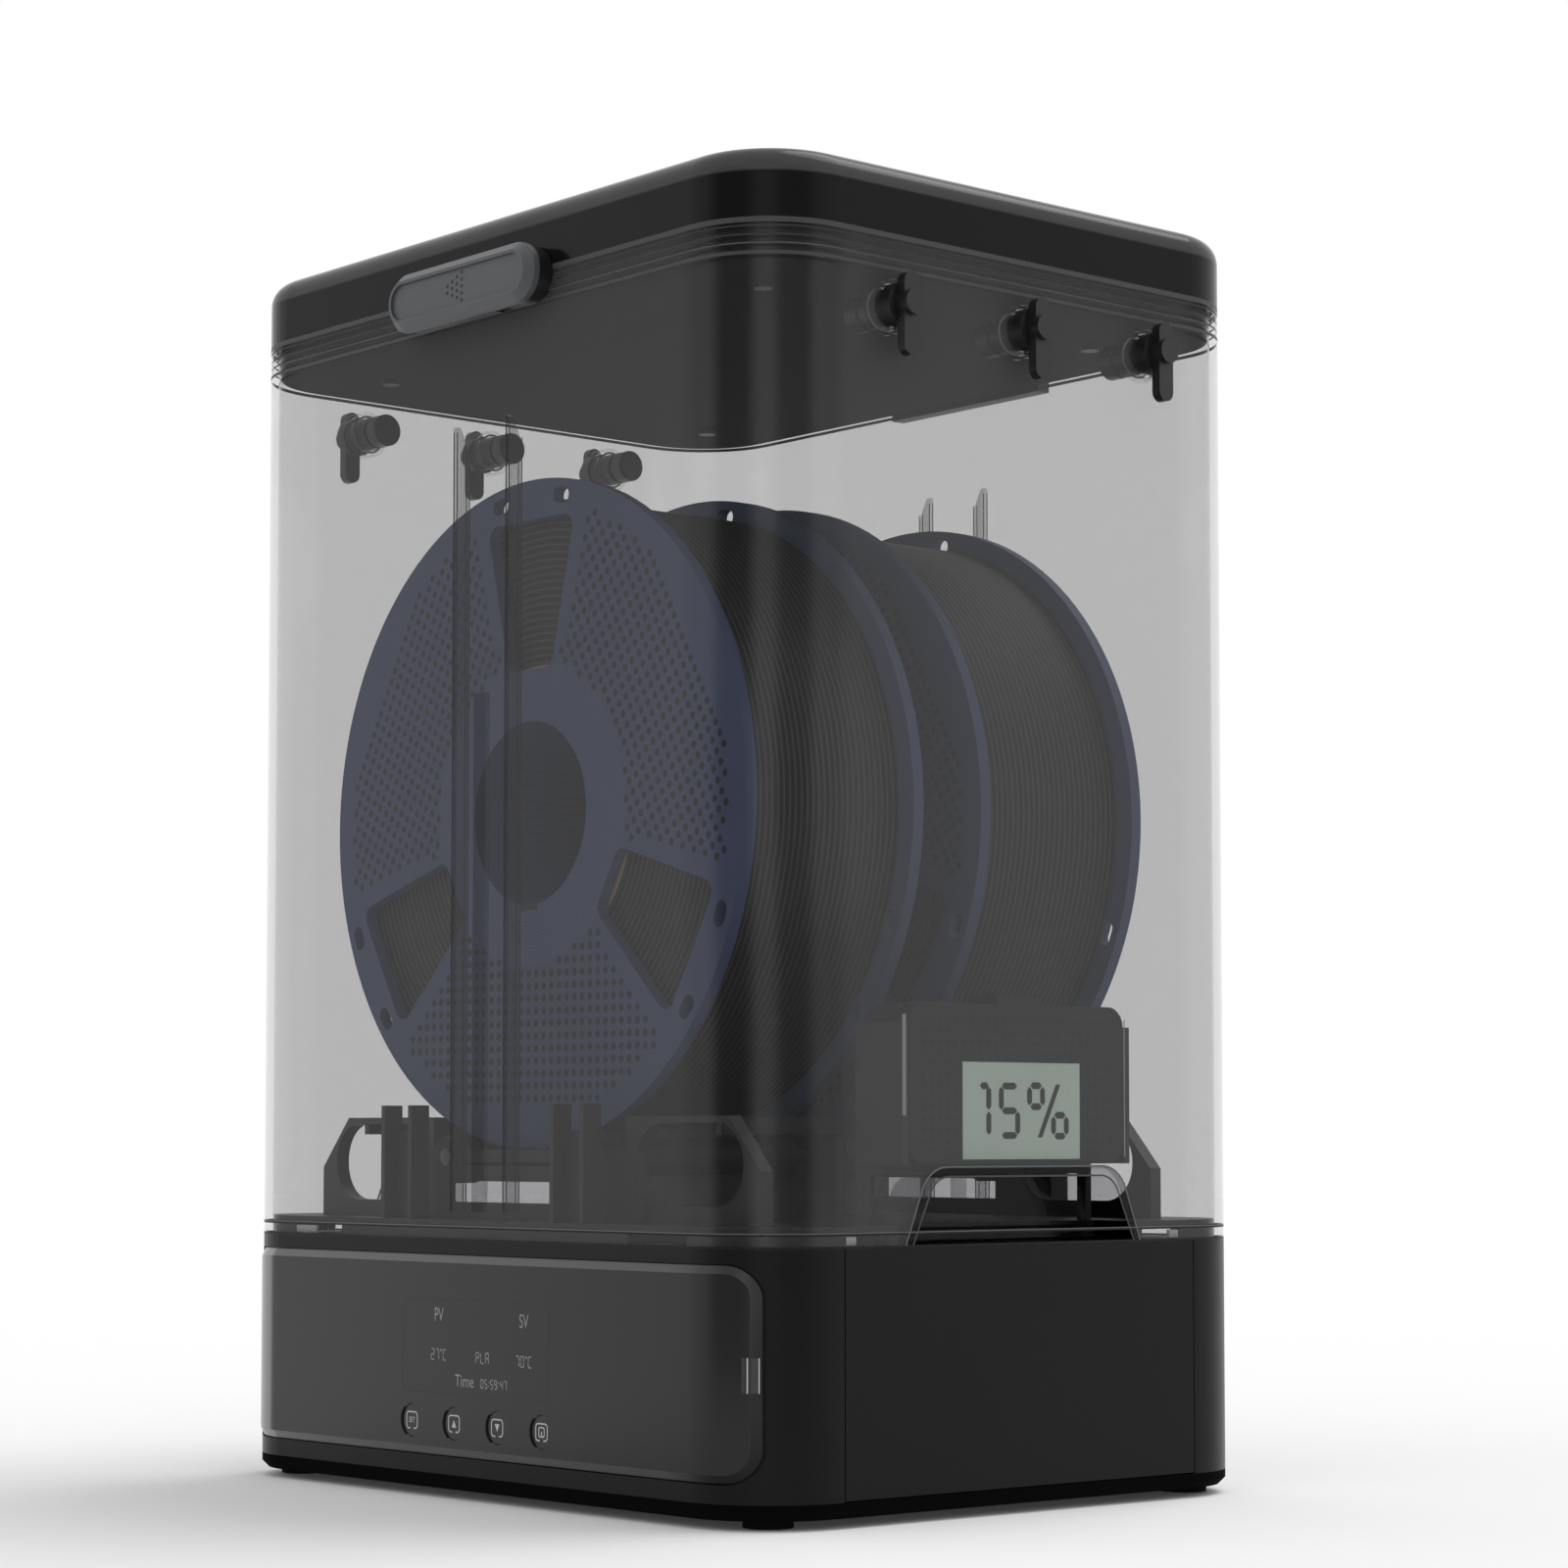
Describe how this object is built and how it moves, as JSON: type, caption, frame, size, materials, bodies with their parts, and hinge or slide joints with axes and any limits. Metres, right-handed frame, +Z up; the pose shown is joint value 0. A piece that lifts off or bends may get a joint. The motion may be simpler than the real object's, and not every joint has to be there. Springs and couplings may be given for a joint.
{
  "type": "filament dryer box",
  "caption": "Free-standing heated dryer box for printing filament: a clear lidded chamber with spools on rollers, on a dark base with a display and buttons.",
  "frame": {"origin": "on the floor, under the middle of the box", "axes": "+Z up, the front with the display faces -Y, the side with the hygrometer faces +X"},
  "size_m": [0.2796, 0.219, 0.3788],
  "materials": {
    "case_plastic": "fine-textured black",
    "deck_plastic": "black",
    "lid_plastic": "satin black",
    "liner_plastic": "dark grey",
    "clear_plastic": "clear, smoked",
    "panel_gloss": "smoked gloss",
    "display_black": "dark glass",
    "button_gloss": "smoked gloss",
    "indicator_clear": "clear",
    "foot_rubber": "black",
    "seal_rubber": "black",
    "plug_rubber": "black",
    "bush_clear": "clear",
    "cradle_plastic": "dark grey",
    "roller_rubber": "black",
    "pin_steel": "bright",
    "spool_plastic": "dark navy",
    "filament": "black",
    "meter_plastic": "dark grey",
    "meter_screen": "grey-green liquid crystal",
    "latch_plastic": "slate grey",
    "fitting_plastic": "black",
    "screw_steel": "zinc",
    "board_green": "green laminate",
    "supply_metal": "sheet",
    "inlet_plastic": "black",
    "fan_plastic": "black",
    "motor_metal": "plain",
    "heater_metal": "finned",
    "heater_plastic": "heat-proof"
  },
  "bodies": {
    "base": {"base_shell": "case_plastic", "base_plinth": "case_plastic", "base_deck": "deck_plastic", "side_panel_left": "case_plastic", "side_panel_right": "case_plastic", "front_panel": "panel_gloss", "display_module": "display_black", "control_board": "board_green", "indicator_light": "indicator_clear", "power_inlet": "inlet_plastic", "power_supply": "supply_metal", "fan_frame": "fan_plastic", "fan_motor": "motor_metal", "heater_frame": "heater_plastic", "heater_core": "heater_metal", "air_duct": "supply_metal", "temperature_probe": "motor_metal", "feet": "foot_rubber", "base_screws": "screw_steel", "dock_seal": "foot_rubber"},
    "chamber": {"chamber": "clear_plastic", "chamber_ribs": "clear_plastic", "finger_cups": "clear_plastic", "cradle": "cradle_plastic", "roller_pins": "pin_steel", "hygrometer_case": "meter_plastic", "hygrometer_screen": "meter_screen", "outlet_bushes_left": "bush_clear", "outlet_bushes_right": "bush_clear", "hinge_bracket": "fitting_plastic", "hinge_pin": "pin_steel"},
    "lid": {"lid_shell": "lid_plastic", "lid_liner": "liner_plastic", "lid_seal": "seal_rubber", "lid_screws": "screw_steel", "lid_hinge_leaf": "fitting_plastic", "latch_track": "fitting_plastic"},
    "latch": {"latch_slider": "latch_plastic"},
    "fan": {"fan_rotor": "fan_plastic"},
    "spool_front": {"spool_front_front_half": "spool_plastic", "spool_front_rear_half": "spool_plastic", "filament_front": "filament"},
    "spool_rear": {"spool_rear_front_half": "spool_plastic", "spool_rear_rear_half": "spool_plastic", "filament_rear": "filament"},
    "button_set": {"button_set": "button_gloss"},
    "button_up": {"button_up": "button_gloss"},
    "button_down": {"button_down": "button_gloss"},
    "button_lock": {"button_lock": "button_gloss"},
    "plug_left_front": {"plug_left_front": "plug_rubber"},
    "plug_left_middle": {"plug_left_middle": "plug_rubber"},
    "plug_left_rear": {"plug_left_rear": "plug_rubber"},
    "plug_right_front": {"plug_right_front": "plug_rubber"},
    "plug_right_middle": {"plug_right_middle": "plug_rubber"},
    "plug_right_rear": {"plug_right_rear": "plug_rubber"},
    "roller_front_left": {"roller_front_left": "roller_rubber"},
    "roller_front_right": {"roller_front_right": "roller_rubber"},
    "roller_rear_left": {"roller_rear_left": "roller_rubber"},
    "roller_rear_right": {"roller_rear_right": "roller_rubber"}
  },
  "joints": [
    {"name": "chamber_lift", "type": "slide", "parent": "base", "child": "chamber", "axis": [0, 0, 1], "range_m": [0, 0.12]},
    {"name": "lid_hinge", "type": "hinge", "parent": "chamber", "child": "lid", "pos_m": [0, 0.105, 0.3585], "axis": [-1, 0, 0], "range_deg": [0, 100]},
    {"name": "latch_slide", "type": "slide", "parent": "lid", "child": "latch", "axis": [1, 0, 0], "range_m": [0, 0.007]},
    {"name": "fan_spin", "type": "hinge", "parent": "base", "child": "fan", "pos_m": [0, 0, 0.034], "axis": [0, 0, 1], "continuous": true},
    {"name": "button_set_press", "type": "slide", "parent": "base", "child": "button_set", "axis": [0, 1, 0], "range_m": [0, 0.0008], "stiffness_N_per_m": 300, "springref_m": -0.001},
    {"name": "button_up_press", "type": "slide", "parent": "base", "child": "button_up", "axis": [0, 1, 0], "range_m": [0, 0.0008], "stiffness_N_per_m": 300, "springref_m": -0.001},
    {"name": "button_down_press", "type": "slide", "parent": "base", "child": "button_down", "axis": [0, 1, 0], "range_m": [0, 0.0008], "stiffness_N_per_m": 300, "springref_m": -0.001},
    {"name": "button_lock_press", "type": "slide", "parent": "base", "child": "button_lock", "axis": [0, 1, 0], "range_m": [0, 0.0008], "stiffness_N_per_m": 300, "springref_m": -0.001},
    {"name": "plug_left_front_pull", "type": "slide", "parent": "chamber", "child": "plug_left_front", "axis": [-1, 0, 0], "range_m": [0, 0.03]},
    {"name": "plug_left_middle_pull", "type": "slide", "parent": "chamber", "child": "plug_left_middle", "axis": [-1, 0, 0], "range_m": [0, 0.03]},
    {"name": "plug_left_rear_pull", "type": "slide", "parent": "chamber", "child": "plug_left_rear", "axis": [-1, 0, 0], "range_m": [0, 0.03]},
    {"name": "plug_right_front_pull", "type": "slide", "parent": "chamber", "child": "plug_right_front", "axis": [1, 0, 0], "range_m": [0, 0.03]},
    {"name": "plug_right_middle_pull", "type": "slide", "parent": "chamber", "child": "plug_right_middle", "axis": [1, 0, 0], "range_m": [0, 0.03]},
    {"name": "plug_right_rear_pull", "type": "slide", "parent": "chamber", "child": "plug_right_rear", "axis": [1, 0, 0], "range_m": [0, 0.03]},
    {"name": "spool_front_spin", "type": "hinge", "parent": "chamber", "child": "spool_front", "pos_m": [0, -0.04525, 0.2025], "axis": [0, 1, 0], "continuous": true},
    {"name": "roller_front_left_spin", "type": "hinge", "parent": "chamber", "child": "roller_front_left", "pos_m": [-0.035, -0.04525, 0.10001], "axis": [0, 1, 0], "continuous": true},
    {"name": "roller_front_right_spin", "type": "hinge", "parent": "chamber", "child": "roller_front_right", "pos_m": [0.035, -0.04525, 0.10001], "axis": [0, 1, 0], "continuous": true},
    {"name": "spool_rear_spin", "type": "hinge", "parent": "chamber", "child": "spool_rear", "pos_m": [0, 0.04525, 0.2025], "axis": [0, 1, 0], "continuous": true},
    {"name": "roller_rear_left_spin", "type": "hinge", "parent": "chamber", "child": "roller_rear_left", "pos_m": [-0.035, 0.04525, 0.10001], "axis": [0, 1, 0], "continuous": true},
    {"name": "roller_rear_right_spin", "type": "hinge", "parent": "chamber", "child": "roller_rear_right", "pos_m": [0.035, 0.04525, 0.10001], "axis": [0, 1, 0], "continuous": true}
  ],
  "couplings": [
    {"joint": "roller_front_left_spin", "follows": "spool_front_spin", "ratio": -12.5},
    {"joint": "roller_front_right_spin", "follows": "spool_front_spin", "ratio": -12.5},
    {"joint": "roller_rear_left_spin", "follows": "spool_rear_spin", "ratio": -12.5},
    {"joint": "roller_rear_right_spin", "follows": "spool_rear_spin", "ratio": -12.5}
  ]
}
